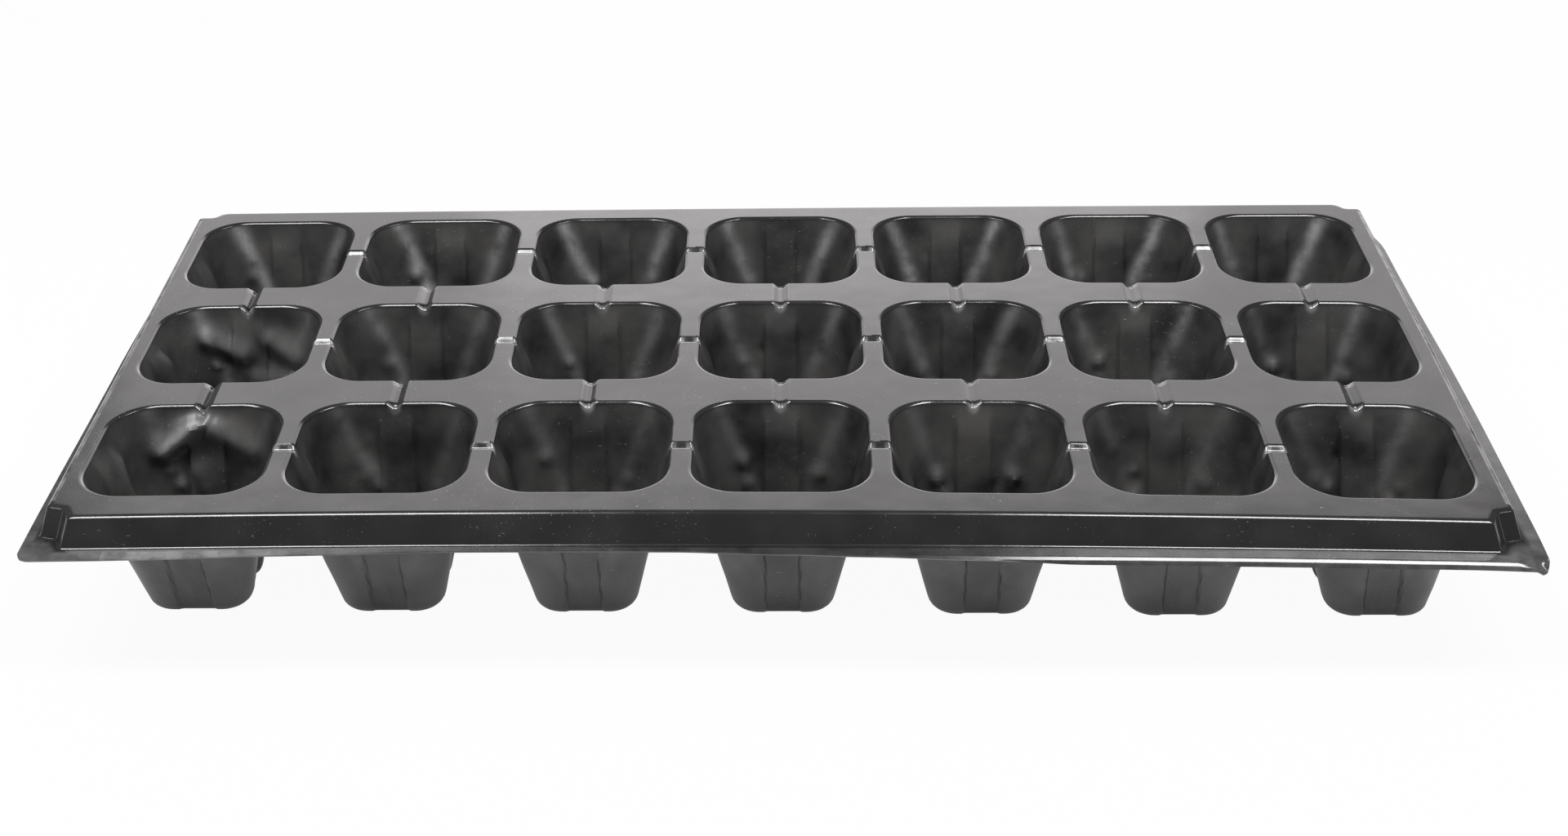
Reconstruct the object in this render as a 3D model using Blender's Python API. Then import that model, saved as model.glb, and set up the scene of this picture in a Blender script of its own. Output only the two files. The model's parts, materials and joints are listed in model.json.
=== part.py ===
"""Seed tray: one vacuum-formed sheet of black plastic, drawn into columns and rows of tapered cells.

The sheet is modelled in zones that meet on its flat deck: one zone for each cell, four straight
lengths of rim and four rim corners.  Each zone starts as an open skin of the sheet's upper side,
and every vertex of that skin carries the place of its twin on the underside.
"""
import math

import bmesh
import bpy
from mathutils import Matrix, Vector

# Overall size, in metres
TRAY_LENGTH = 0.540
TRAY_WIDTH = 0.280
TRAY_HEIGHT = 0.064

# Sheet thickness, which thins as the cells are drawn
DECK_SHEET = 0.0008
THROAT_SHEET = 0.0007
BASE_SHEET = 0.0004

# Layout of the cells
COLUMNS = 7
ROW_NAMES = ("front", "middle", "back")
COLUMN_PITCH = 0.0736
ROW_PITCH = 0.0826

# Raised deck and rim
DECK_LENGTH = 0.520
DECK_WIDTH = 0.2575
DECK_EDGE_RADIUS = 0.002
SKIRT_HEIGHT = 0.012
SKIRT_DRAFT = 0.0045
NOTCH_LENGTH = 0.0085
NOTCH_WIDTH = 0.0075
FLANGE_CLIP = 0.004

# Seams between the zones
ZONE_GAP = 0.0003
CELL_REACH_X = 0.256
CELL_REACH_Y = 0.118
CORNER_ZONE_X = 0.240

# One cell: mouth, wall, base and drain hole
MOUTH_LENGTH = 0.0665
MOUTH_WIDTH = 0.0675
MOUTH_CORNER = 0.018
SHOULDER = 0.002
THROAT_CORNER = 0.017
BASE_INSET = 0.01525
BASE_FILLET = 0.0055
WALL_FOOT_CORNER = 0.010
FLOOR_INSET = 0.01925
FLOOR_CORNER = 0.007
DRAIN_RADIUS = 0.005
CORNER_STEPS = 3

# Rib down the middle of each wall, and link groove across the deck to the next cell
RIB_WIDTH = 0.013
RIB_EDGE = 0.0008
RIB_DEPTH = 0.001
LINK_WIDTH = 0.006
LINK_FLOOR = 0.0026
LINK_DEPTH = 0.0025
THROAT_DIP = 0.0018

PLASTIC_COLOUR = (0.020, 0.020, 0.021, 1.0)
PLASTIC_ROUGHNESS = 0.38


def black_plastic(name):
    """A semi-gloss black plastic of its own for one zone."""
    material = bpy.data.materials.new(name + "_plastic")
    material.use_nodes = True
    shader = material.node_tree.nodes["Principled BSDF"]
    shader.inputs["Base Color"].default_value = PLASTIC_COLOUR
    shader.inputs["Roughness"].default_value = PLASTIC_ROUGHNESS
    shader.inputs["Metallic"].default_value = 0.0
    return material


def underside(path, sheets):
    """Move a path of (across, height) points to its lower side by the sheet's thickness, mitred."""
    normals = []
    for here, ahead in zip(path, path[1:]):
        step = (Vector(ahead) - Vector(here)).normalized()
        normals.append(Vector((step.y, -step.x)))
    before = normals[:1] + normals
    after = normals + normals[-1:]
    moved = []
    for point, sheet, first, second in zip(path, sheets, before, after):
        moved.append(Vector(point) + (first + second) * sheet / (1.0 + first.dot(second)))
    return moved


def new_skin():
    """An empty skin whose vertices can carry the place of their twins on the underside."""
    skin = bmesh.new()
    skin.verts.layers.float_vector.new("twin")
    return skin


def add_points(skin, tops, twins):
    """Add a row of vertices to the skin, each with its twin."""
    layer = skin.verts.layers.float_vector["twin"]
    row = []
    for top, twin in zip(tops, twins):
        vert = skin.verts.new(top)
        vert[layer] = twin
        row.append(vert)
    return row


def join_rows(skin, first, second, closed):
    """Join two rows of vertices with a strip of faces."""
    count = len(first) if closed else len(first) - 1
    for index in range(count):
        ahead = (index + 1) % len(first)
        skin.faces.new((first[index], first[ahead], second[ahead], second[index]))


def thicken(skin):
    """Close the skin into a solid: copy its faces, move the copy to the twins, wall in the edges."""
    bmesh.ops.remove_doubles(skin, verts=skin.verts, dist=1e-6)
    layer = skin.verts.layers.float_vector["twin"]
    copied = bmesh.ops.extrude_face_region(skin, geom=skin.faces[:], use_keep_orig=True)
    for item in copied["geom"]:
        if isinstance(item, bmesh.types.BMVert):
            item.co = item[layer]
    bmesh.ops.recalc_face_normals(skin, faces=skin.faces)


def add_zone(name, skin, tray, location=(0.0, 0.0, 0.0)):
    """Make a named object of a finished skin and hang it on the tray."""
    thicken(skin)
    mesh = bpy.data.meshes.new(name)
    skin.to_mesh(mesh)
    skin.free()
    mesh.shade_smooth()
    mesh.set_sharp_from_angle(angle=math.radians(24.0))
    mesh.materials.append(black_plastic(name))
    zone = bpy.data.objects.new(name, mesh)
    zone.location = location
    zone.parent = tray
    bpy.context.scene.collection.objects.link(zone)


def turned(quarter, out, along, height):
    """A point given by its reach out of side number quarter and its place along that side."""
    return Matrix.Rotation(quarter * math.pi / 2.0, 3, "Z") @ Vector((out, along, height))


def wall_ring(inset, height, corner, stops, push=0.0, dips=(0.0,) * 4):
    """One ring of the cell: a rounded rectangle with four stops on each side for rib and link.

    The two middle stops of a side are pushed in for the rib, or dipped where a link groove leaves.
    """
    halves = (MOUTH_LENGTH / 2.0 - inset, MOUTH_WIDTH / 2.0 - inset)
    outer, inner = stops
    ring = []
    for quarter in range(4):
        out = halves[quarter % 2]
        along = halves[(quarter + 1) % 2]
        ring.append(turned(quarter, out, -outer, height))
        ring.append(turned(quarter, out - push, -inner, height - dips[quarter]))
        ring.append(turned(quarter, out - push, inner, height - dips[quarter]))
        ring.append(turned(quarter, out, outer, height))
        for step in range(CORNER_STEPS + 1):
            angle = math.pi / 2.0 * step / CORNER_STEPS
            arc_out = out - corner + corner * math.cos(angle)
            arc_along = along - corner + corner * math.sin(angle)
            ring.append(turned(quarter, arc_out, arc_along, height))
    return ring


def deck_ring(reaches, height, stops, dips):
    """The edge of the cell's piece of deck: a rectangle with the ends of the link grooves."""
    outer, inner = stops
    ring = []
    for quarter in range(4):
        out = reaches[quarter]
        along = reaches[(quarter + 1) % 4]
        ring.append(turned(quarter, out, -outer, height))
        ring.append(turned(quarter, out, -inner, height - dips[quarter]))
        ring.append(turned(quarter, out, inner, height - dips[quarter]))
        ring.append(turned(quarter, out, outer, height))
        ring.extend([turned(quarter, out, along, height)] * (CORNER_STEPS + 1))
    return ring


def drain_ring(height):
    """The drain hole's edge, with one place for every two stops of the wall rings."""
    per_side = CORNER_STEPS + 5
    places = per_side * 2
    ring = []
    for index in range(per_side * 4):
        angle = 2.0 * math.pi * (index // 2 - 0.5) / places
        ring.append(Vector((DRAIN_RADIUS * math.cos(angle), DRAIN_RADIUS * math.sin(angle), height)))
    return ring


def cell_skin(reaches, links):
    """A cell from its piece of deck down to its drain hole.

    Sides are numbered right, back, left, front; reaches are the deck's extents on them and links
    say which of them has a groove to a neighbour.
    """
    slope = (BASE_INSET - SHOULDER) / (TRAY_HEIGHT - SHOULDER)
    foot_inset = BASE_INSET - slope * BASE_FILLET
    path = [
        (-SHOULDER, TRAY_HEIGHT),
        (0.0, TRAY_HEIGHT),
        (SHOULDER, TRAY_HEIGHT - SHOULDER),
        (foot_inset, BASE_FILLET),
        (FLOOR_INSET, BASE_SHEET),
        (FLOOR_INSET + SHOULDER, BASE_SHEET),
    ]
    sheets = (DECK_SHEET, DECK_SHEET, THROAT_SHEET, BASE_SHEET, BASE_SHEET, BASE_SHEET)
    lower = underside(path, sheets)
    link_stops = (LINK_WIDTH / 2.0, LINK_FLOOR / 2.0)
    throat_stops = (RIB_WIDTH / 2.0, LINK_WIDTH / 2.0)
    foot_stops = (RIB_WIDTH / 2.0 + RIB_EDGE, RIB_WIDTH / 2.0)
    floor_stops = (RIB_WIDTH / 2.0 - RIB_EDGE, LINK_WIDTH / 2.0)
    link_dips = [LINK_DEPTH * link for link in links]
    throat_dips = [THROAT_DIP * link for link in links]

    skin = new_skin()
    rows = [
        add_points(
            skin,
            deck_ring(reaches, TRAY_HEIGHT, link_stops, link_dips),
            deck_ring(reaches, TRAY_HEIGHT - DECK_SHEET, link_stops, link_dips),
        )
    ]
    stations = (
        (MOUTH_CORNER, link_stops, 0.0, link_dips),
        (THROAT_CORNER, throat_stops, 0.0, throat_dips),
        (WALL_FOOT_CORNER, foot_stops, RIB_DEPTH, (0.0,) * 4),
        (FLOOR_CORNER, floor_stops, 0.0, (0.0,) * 4),
    )
    for top, low, station in zip(path[1:], lower[1:], stations):
        rows.append(add_points(skin, wall_ring(*top, *station), wall_ring(*low, *station)))
    rows.append(add_points(skin, drain_ring(BASE_SHEET), drain_ring(0.0)))
    for upper_row, lower_row in zip(rows, rows[1:]):
        join_rows(skin, upper_row, lower_row, closed=True)
    return skin


def add_cells(tray):
    """All the cells, in columns from left to right and rows from front to back."""
    half_gap = ZONE_GAP / 2.0
    last_column = COLUMNS - 1
    last_row = len(ROW_NAMES) - 1
    for row, row_name in enumerate(ROW_NAMES):
        for column in range(COLUMNS):
            x = (column - last_column / 2.0) * COLUMN_PITCH
            y = (row - last_row / 2.0) * ROW_PITCH
            links = (column < last_column, row < last_row, column > 0, row > 0)
            edges = (CELL_REACH_X - x, CELL_REACH_Y - y, CELL_REACH_X + x, CELL_REACH_Y + y)
            pitches = (COLUMN_PITCH / 2.0, ROW_PITCH / 2.0) * 2
            reaches = []
            for link, pitch, edge in zip(links, pitches, edges):
                reaches.append((pitch if link else edge) - half_gap)
            name = "cell_{}_{}".format(row_name, column + 1)
            add_zone(name, cell_skin(reaches, links), tray, (x, y, 0.0))


def rim_section(reach_in, reach_out):
    """The rim's section as (distance out of the deck's edge, height), upper side and underside."""
    lean = math.atan2(SKIRT_DRAFT, SKIRT_HEIGHT)
    round_end = math.pi / 2.0 - lean
    path = [(-reach_in, TRAY_HEIGHT)]
    for step in range(3):
        angle = round_end * step / 2.0
        out = DECK_EDGE_RADIUS * (math.sin(angle) - 1.0)
        drop = DECK_EDGE_RADIUS * (1.0 - math.cos(angle))
        path.append((out, TRAY_HEIGHT - drop))
    path.append((SKIRT_DRAFT, TRAY_HEIGHT - SKIRT_HEIGHT))
    path.append((reach_out, TRAY_HEIGHT - SKIRT_HEIGHT))
    return path, underside(path, [DECK_SHEET] * len(path))


def add_straight_rim(name, tray, quarter, deck_half, cell_reach, tray_half, run_half):
    """A straight length of rim on side number quarter."""
    half_gap = ZONE_GAP / 2.0
    upper, lower = rim_section(deck_half - cell_reach - half_gap, tray_half - deck_half)
    skin = new_skin()
    rows = []
    for along in (-run_half + half_gap, run_half - half_gap):
        tops = [turned(quarter, deck_half + out, along, height) for out, height in upper]
        twins = [turned(quarter, deck_half + out, along, height) for out, height in lower]
        rows.append(add_points(skin, tops, twins))
    join_rows(skin, rows[0], rows[1], closed=False)
    add_zone(name, skin, tray)


def notch_line(out, height, signs):
    """The deck's edge round one corner notch, moved out by a distance and set at a height.

    The line runs along the tray's length, in and out of the square notch, and on along its width.
    """
    half_gap = ZONE_GAP / 2.0
    deck_x = DECK_LENGTH / 2.0
    deck_y = DECK_WIDTH / 2.0
    notch_x = deck_x - NOTCH_LENGTH
    notch_y = deck_y - NOTCH_WIDTH
    places = (
        (CORNER_ZONE_X + half_gap, deck_y + out),
        (notch_x + out, deck_y + out),
        (notch_x + out, notch_y + out),
        (deck_x + out, notch_y + out),
        (deck_x + out, CELL_REACH_Y + half_gap),
    )
    return [Vector((signs[0] * x, signs[1] * y, height)) for x, y in places]


def add_rim_corner(name, tray, signs):
    """A corner of the rim: the section drawn round the notch, with flat deck and flange beside it."""
    half_gap = ZONE_GAP / 2.0
    upper, lower = rim_section(NOTCH_LENGTH, SKIRT_DRAFT + FLANGE_CLIP)
    skin = new_skin()
    rows = []
    for top, low in zip(upper[1:-1], lower[1:-1]):
        rows.append(add_points(skin, notch_line(*top, signs), notch_line(*low, signs)))
    for first, second in zip(rows, rows[1:]):
        join_rows(skin, first, second, closed=False)

    inner_places = ((CORNER_ZONE_X + half_gap, CELL_REACH_Y + half_gap),)
    outer_places = (
        (TRAY_LENGTH / 2.0, CELL_REACH_Y + half_gap),
        (TRAY_LENGTH / 2.0, TRAY_WIDTH / 2.0 - FLANGE_CLIP),
        (TRAY_LENGTH / 2.0 - FLANGE_CLIP, TRAY_WIDTH / 2.0),
        (CORNER_ZONE_X + half_gap, TRAY_WIDTH / 2.0),
    )
    fills = (
        (rows[0], inner_places, TRAY_HEIGHT),
        (rows[-1], outer_places, TRAY_HEIGHT - SKIRT_HEIGHT),
    )
    for row, places, height in fills:
        tops = [Vector((signs[0] * x, signs[1] * y, height)) for x, y in places]
        twins = [top - Vector((0.0, 0.0, DECK_SHEET)) for top in tops]
        skin.faces.new(row + add_points(skin, tops, twins))
    add_zone(name, skin, tray)


def main():
    """Build the tray on an empty scene."""
    for old in list(bpy.data.objects):
        bpy.data.objects.remove(old, do_unlink=True)
    tray = bpy.data.objects.new("seed_tray", None)
    bpy.context.scene.collection.objects.link(tray)

    add_cells(tray)
    long_rim = (DECK_WIDTH / 2.0, CELL_REACH_Y, TRAY_WIDTH / 2.0, CORNER_ZONE_X)
    short_rim = (DECK_LENGTH / 2.0, CELL_REACH_X, TRAY_LENGTH / 2.0, CELL_REACH_Y)
    add_straight_rim("right_rim", tray, 0, *short_rim)
    add_straight_rim("back_rim", tray, 1, *long_rim)
    add_straight_rim("left_rim", tray, 2, *short_rim)
    add_straight_rim("front_rim", tray, 3, *long_rim)
    for end, end_sign in (("left", -1.0), ("right", 1.0)):
        for side, side_sign in (("front", -1.0), ("back", 1.0)):
            add_rim_corner("corner_{}_{}".format(side, end), tray, (end_sign, side_sign))


main()
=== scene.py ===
"""Looks of the seed tray: one black formed sheet of tapered cells with a notched, skirted rim.

Every zone of the sheet is drawn again as a fine skin over its solid: the cells with their rounded
shoulders, ribs, link channels and dents, the rim with its rounded edge and its trimmed flange.
"""
import json
import math
import random
from dataclasses import dataclass

import bmesh
import bpy
from bpy.props import FloatProperty, FloatVectorProperty, PointerProperty
from mathutils import Matrix, Vector, noise


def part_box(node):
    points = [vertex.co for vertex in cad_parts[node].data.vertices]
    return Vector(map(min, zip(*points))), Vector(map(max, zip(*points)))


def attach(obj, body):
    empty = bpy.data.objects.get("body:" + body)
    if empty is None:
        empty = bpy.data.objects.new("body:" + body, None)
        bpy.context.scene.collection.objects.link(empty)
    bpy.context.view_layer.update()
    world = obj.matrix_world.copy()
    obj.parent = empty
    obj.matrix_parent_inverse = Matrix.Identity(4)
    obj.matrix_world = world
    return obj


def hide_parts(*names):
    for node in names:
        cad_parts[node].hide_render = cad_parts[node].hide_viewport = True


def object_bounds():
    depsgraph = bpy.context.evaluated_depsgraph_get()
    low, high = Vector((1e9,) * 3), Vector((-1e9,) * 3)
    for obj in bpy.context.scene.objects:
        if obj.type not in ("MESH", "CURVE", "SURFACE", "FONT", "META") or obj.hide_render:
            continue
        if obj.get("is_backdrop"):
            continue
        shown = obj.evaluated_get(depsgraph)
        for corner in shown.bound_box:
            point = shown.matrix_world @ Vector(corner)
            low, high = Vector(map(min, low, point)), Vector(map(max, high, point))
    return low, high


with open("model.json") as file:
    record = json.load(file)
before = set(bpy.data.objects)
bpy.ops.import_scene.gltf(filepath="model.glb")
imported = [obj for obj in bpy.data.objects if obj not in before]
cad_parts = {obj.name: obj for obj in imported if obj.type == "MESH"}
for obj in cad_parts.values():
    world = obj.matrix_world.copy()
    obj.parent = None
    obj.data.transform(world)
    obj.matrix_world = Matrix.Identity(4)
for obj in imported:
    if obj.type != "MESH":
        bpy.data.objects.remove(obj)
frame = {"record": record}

CAD_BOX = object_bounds()
DECK_HEIGHT = CAD_BOX[1].z
TRAY_HALF = (CAD_BOX[1].x, CAD_BOX[1].y)
HOLLOWS = {opening["name"]: opening["box_m"] for opening in frame["record"]["physics"]["openings"]}

ROWS = ("front", "middle", "back")
COLUMNS = 7
QUARTER_TURNS = ((1.0, 0.0), (0.0, 1.0), (-1.0, 0.0), (0.0, -1.0))
SIDE_NAMES = ("right", "back", "left", "front")

# Mesh density: stops along a wall, crowded to its middle, and steps round a corner and down a wall
SIDE_STEPS = 20
SIDE_CROWDING = 1.7
SIDE_STOPS = [
    math.copysign((abs(stop) / SIDE_STEPS) ** SIDE_CROWDING, stop)
    for stop in range(-SIDE_STEPS, SIDE_STEPS + 1)
]
CORNER_STEPS = 14
PER_SIDE = len(SIDE_STOPS) + CORNER_STEPS - 1
WALL_STEPS = 36
WALL_CROWDING = 1.25
FILLET_STEPS = 7
BEAD_STEPS = 4
FLANGE_STEPS = 12
RIM_RUN_STEP = 0.005
# Rings of the deck as shares of the way to the lip, then rings of the lip by their distance to the mouth
WEB_SHARES = (0.45, 0.6, 0.75, 0.88)
LIP_RINGS = (0.00085, 0.0005, 0.0002)
SHARP_ANGLE = math.radians(38.0)
MERGE_DISTANCE = 1e-6
TINY = 1e-12

# The nearly flat part of a rolled edge: where it begins and ends in degrees, and its width
MOUTH_FACET = (34.0, 44.0, 0.0007)
RIM_FACET = (28.0, 37.0, 0.0007)
FOOT_FACET = (28.0, 37.0, 0.0004)
# Radius past the flat part, as a share of the radius before it
BEAD_TAIL = 0.45

bl_info = {
    "name": "Seed tray",
    "version": (1, 0, 0),
    "blender": (4, 5, 0),
    "location": "3D View > Sidebar > Seed tray",
    "description": "Draws a formed sheet of cells with a skirted rim over the tray's solids",
    "category": "Object",
}


def length(name, description, default):
    """A length property in metres."""
    return FloatProperty(name=name, description=description, default=default, unit="LENGTH", precision=5)


def factor(name, description, default):
    """A plain number."""
    return FloatProperty(name=name, description=description, default=default)


def turn(name, description, degrees):
    """An angle property, given in degrees."""
    return FloatProperty(
        name=name, description=description, default=math.radians(degrees), subtype="ANGLE"
    )


def power(name, description, default):
    """The power of a lamp."""
    return FloatProperty(name=name, description=description, default=default, unit="POWER")


def colour(name, description, default):
    """A colour property."""
    return FloatVectorProperty(
        name=name, description=description, default=default, subtype="COLOR", min=0.0, max=1.0
    )


class SheetSettings(bpy.types.PropertyGroup):
    """The sheet as a whole: its gauge, and how far the deck has sprung out of flat."""

    zone_gap: length("Zone gap", "Gap that the solids of neighbouring zones keep", 0.0003)
    gauge: length("Gauge", "Thickness of the formed sheet", 0.0007)
    clearance: length("Clearance", "Height of the bases over the floor", 0.0001)
    crown: length("Crown", "Height of the deck's middle over its nominal level", 0.0012)
    droop: length("Droop", "Fall of the deck from its middle to the ends", 0.0020)
    droop_skew: length("Droop skew", "How much more the front edge falls than the middle", 0.00146)
    pinch: length("Pinch", "How far the back right corner is drawn in", 0.0018)
    twist: length("Twist", "Rise of opposite corners of the deck", 0.00195)


class CellSettings(bpy.types.PropertyGroup):
    """One tapered cell, its ribs and the channels that link it to its neighbours."""

    mouth_length: length("Mouth length", "Mouth along the tray's length", 0.0681)
    mouth_width: length("Mouth width", "Mouth across the tray's width", 0.0670)
    mouth_corner: length("Mouth corner", "Corner radius of the mouth", 0.018)
    shoulder: length("Shoulder", "Radius that rolls the deck into the wall", 0.0012)
    base_inset: length("Base inset", "How far the wall leans in from mouth to base", 0.01525)
    end_taper: factor("End taper", "Lean of the left and right walls over that of the others", 1.052)
    base_corner: length("Base corner", "Corner radius of the wall at the base", 0.010)
    base_fillet: length("Base fillet", "Radius between wall and base", 0.0055)
    floor_corner: length("Floor corner", "Corner radius of the flat base", 0.006)
    drain_radius: length("Drain radius", "Radius of the drain hole", 0.005)
    rib_width: length("Rib width", "Width of the rib down the middle of a wall", 0.0135)
    rib_edge: length("Rib edge", "Width of the step at each side of a rib", 0.0013)
    rib_depth: length("Rib depth", "How far a rib stands into the cell", 0.0017)
    rib_fade: length("Rib fade", "Height over which a rib comes out of the wall", 0.013)
    column_width: length("Column width", "Width of the channel to the next column", 0.0052)
    column_link: length("Column link", "Depth of the channel to the next column", 0.0018)
    row_width: length("Row width", "Width of the channel to the next row", 0.0064)
    row_link: length("Row link", "Depth of the channel to the next row", 0.0012)
    lip_dip: length("Lip dip", "How much deeper that channel is at a lip", 0.0008)
    front_run: length("Front run", "How far the dip at a cell's front runs out", 0.0022)
    back_run: length("Back run", "How far the dip at a cell's back runs out", 0.0010)
    crease_width: length("Crease width", "Width of the crease in the channels of the first column", 0.0018)
    crease: length("Crease", "Depth of the crease in the channels of the first column", 0.0011)
    link_fade: length("Link fade", "Height over which a link dies out down the wall", 0.0055)
    # The link ends are painted pale as a highlight, where the channels roll over the lip.
    link_sheen: factor("Link scuff", "How worn the ends of the links are", 0.8)
    # The streaks set below are painted highlight stripes down the corners of the cells, brightest near the
    # top.
    sheen_start: length("Streak start", "Where a draw streak starts round the corner of the mouth", 0.0092)
    sheen_end: length("Streak end", "Where a draw streak would end at the base", -0.0100)
    sheen_skew: length("Streak skew", "How far the streaks of the end columns stand to one side", 0.0028)
    sheen_width: length("Streak width", "Half the width of a draw streak", 0.0030)
    sheen_weak: factor("Weak streaks", "How pale the streaks on the outer side of an end column are", 0.5)
    ripple: length("Ripple", "Unevenness of the drawn walls", 0.00022)


class RimSettings(bpy.types.PropertyGroup):
    """The rim round the deck: rounded edge, skirt, trimmed flange and corner notches."""

    deck_left: length("Deck left", "Reach of the raised deck to the left", 0.2612)
    deck_right: length("Deck right", "Reach of the raised deck to the right", 0.2596)
    deck_front: length("Deck front", "Reach of the raised deck to the front", 0.13075)
    deck_back: length("Deck back", "Reach of the raised deck to the back", 0.1254)
    edge_radius: length("Edge radius", "Radius at the edge of the deck", 0.0020)
    skirt_height: length("Skirt height", "Fall from deck to flange", 0.0112)
    skirt_draft: length("Skirt draft", "How far the skirt's foot stands out", 0.0036)
    foot_radius: length("Foot radius", "Radius between skirt and flange", 0.0014)
    notch_length: length("Notch length", "Corner notch along the tray's length", 0.0064)
    notch_flare: length("Notch flare", "How much longer a notch is at its open end", 0.0032)
    notch_skew: length("Notch skew", "How much wider a front notch is at its outer end", 0.0018)
    front_notch: length("Front notch", "Width of the notches in the front corners", 0.0062)
    back_notch: length("Back notch", "Width of the notches in the back corners", 0.0044)
    front_notch_radius: length("Front notch radius", "Rounding of the front notches", 0.0009)
    back_notch_radius: length("Back notch radius", "Rounding of the back notches", 0.0030)
    flange_clip: length("Flange clip", "Cut across the outer corner of the flange", 0.004)
    trim_lip: length("Trim lip", "Edge of the flange that the trimming turned down", 0.0003)
    fold_radius: length("Fold radius", "Run of a fold where the flange is turned down", 0.0006)
    fold_width: length("Fold width", "Width of the strip between the two folds", 0.0019)
    fold_turn: turn("Fold turn", "How far each fold turns the flange down", 31.0)
    corner_sag: length("Corner sag", "How far the front right corner of the flange hangs", 0.0034)
    # The flanges, the deck's left and right edges and the corners are painted pale as a highlight.
    side_sheen: factor("Side scuff", "How scuffed the flanges of the other sides are", 0.18)
    edge_sheen: factor("Edge scuff", "How worn the left and right edges of the deck are", 0.65)
    corner_scuff: factor("Corner scuff", "How scuffed the corners are", 0.29)
    left_slope: turn("Left slope", "How far the left flange slopes down", 5.0)
    left_taper: length("Left taper", "How much narrower the left flange is at the back", 0.0012)
    right_taper: length("Right taper", "How much narrower the right flange is at the back", 0.0016)
    right_end: length("Right end", "Width of the right flange at its trimmed back end", 0.0010)


class FinishSettings(bpy.types.PropertyGroup):
    """The finish of the black plastic."""

    plastic: colour("Plastic", "Colour of the sheet", (0.015, 0.015, 0.016))
    soiled: colour("Soiled", "Colour of the sheet inside a cell, dulled by soil", (0.080, 0.078, 0.076))
    # The pale colour paints highlights: stripes down the cell corners, link ends, dent crests, the deck's
    # left and right edges and the flanges.
    pale: colour("Pale", "Colour of the sheet where it is drawn thin or scuffed", (0.42, 0.41, 0.41))
    dust: colour("Dust", "Colour of the dust and dry film on it", (0.085, 0.082, 0.078))
    nick: colour("Nick", "Colour of the pale nicks and scratches", (0.32, 0.31, 0.30))
    dust_cover: factor("Dust cover", "Most that the dust covers", 0.25)
    smooth: factor("Smooth", "Roughness of the smoothest spots of the clean sheet", 0.13)
    rough: factor("Rough", "Roughness of the roughest spots of the clean sheet", 0.20)
    dull: factor("Dull", "Roughness of the sheet inside a cell", 0.40)
    index: factor("Index", "Index of refraction of the plastic", 1.70)
    wave: length("Wave", "Height of the faint waves of the sheet", 0.00006)
    grain: length("Grain", "Height of the fine grain of the sheet", 0.000006)


class StageSettings(bpy.types.PropertyGroup):
    """Floor, lights and camera."""

    lens: FloatProperty(name="Lens", description="Focal length", default=51.8, unit="CAMERA")
    elevation: turn("Elevation", "Height of the camera over the deck", 29.98)
    swing: turn("Swing", "Turn of the camera about the tray", -0.09)
    roll: turn("Roll", "Roll of the camera", -0.10)
    distance: length("Distance", "Camera to the point that it looks at", 0.850)
    aim: FloatVectorProperty(
        name="Aim",
        description="Point on the deck that the camera looks at, from the tray's centre",
        default=(0.0002, -0.0644),
        size=2,
        unit="LENGTH",
        precision=5,
    )
    floor: colour("Floor", "Colour of the floor", (0.86, 0.86, 0.86))
    light_tint: colour("Light tint", "Colour of the back panels", (1.0, 0.965, 0.97))
    top_light: power("Top light", "Power of each of the two overhead softboxes", 9.5)
    wide_light: power("Wide light", "Power of the wide back panel", 8.4)
    core_light: power("Core light", "Power of the narrow panel before it", 2.2)
    high_light: power("High light", "Power of the upper back panel", 2.25)
    fill: factor("Fill", "Strength of the surroundings", 0.20)
    floor_glow: factor("Floor glow", "Share of plain white in the floor that the camera sees", 0.95)
    nook: length("Nook", "Reach of the shade under the tray that its gloss mirrors", 0.035)


def mix(first, second, share):
    """A value between two."""
    return first + (second - first) * share


def ease(value):
    """A smooth step from 0 to 1."""
    value = min(max(value, 0.0), 1.0)
    return value * value * (3.0 - 2.0 * value)


def turned(quarter, out, along, height):
    """A point given by its reach out of side number quarter and its place along that side."""
    cosine, sine = QUARTER_TURNS[quarter]
    return Vector((out * cosine - along * sine, out * sine + along * cosine, height))


# Where the pinched end of the tray starts, as a share of half its length
PINCH_START = 0.75


def settle(bm, sheet):
    """Spring the sheet out of shape: the deck is crowned, twisted and pinched, the bases stay put."""
    for vert in bm.verts:
        x = vert.co.x / TRAY_HALF[0]
        y = vert.co.y / TRAY_HALF[1]
        rise = sheet.crown - (sheet.droop - sheet.droop_skew * y) * x * x + sheet.twist * x * y
        vert.co.z += rise * vert.co.z / DECK_HEIGHT
        vert.co.x -= sheet.pinch * max(x - PINCH_START, 0.0) / (1.0 - PINCH_START) * max(y, 0.0)


def add_piece(name, bm):
    """Give a skin its thickness and make it the piece that stands for the solid of that name."""
    scene = bpy.context.scene
    settle(bm, scene.tray_sheet)
    bm.normal_update()
    if max(bm.faces, key=lambda face: abs(face.normal.z)).normal.z < 0.0:
        bmesh.ops.reverse_faces(bm, faces=bm.faces)
    bmesh.ops.solidify(bm, geom=bm.faces[:], thickness=scene.tray_sheet.gauge)
    mesh = bpy.data.meshes.new(name + "_sheet")
    bm.to_mesh(mesh)
    bm.free()
    mesh.shade_smooth()
    mesh.set_sharp_from_angle(angle=SHARP_ANGLE)
    mesh.materials.append(black_sheet(scene.tray_finish))
    piece = bpy.data.objects.new(name + "_sheet", mesh)
    scene.collection.objects.link(piece)
    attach(piece, "root")
    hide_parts(name)


@dataclass
class Station:
    """A level of the cell's skin: its place in the section, and how far link, rib and dents show there."""

    inset: float
    height: float
    corner: float
    link: float = 0.0
    rib: float = 0.0
    wall: float = 0.0


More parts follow.
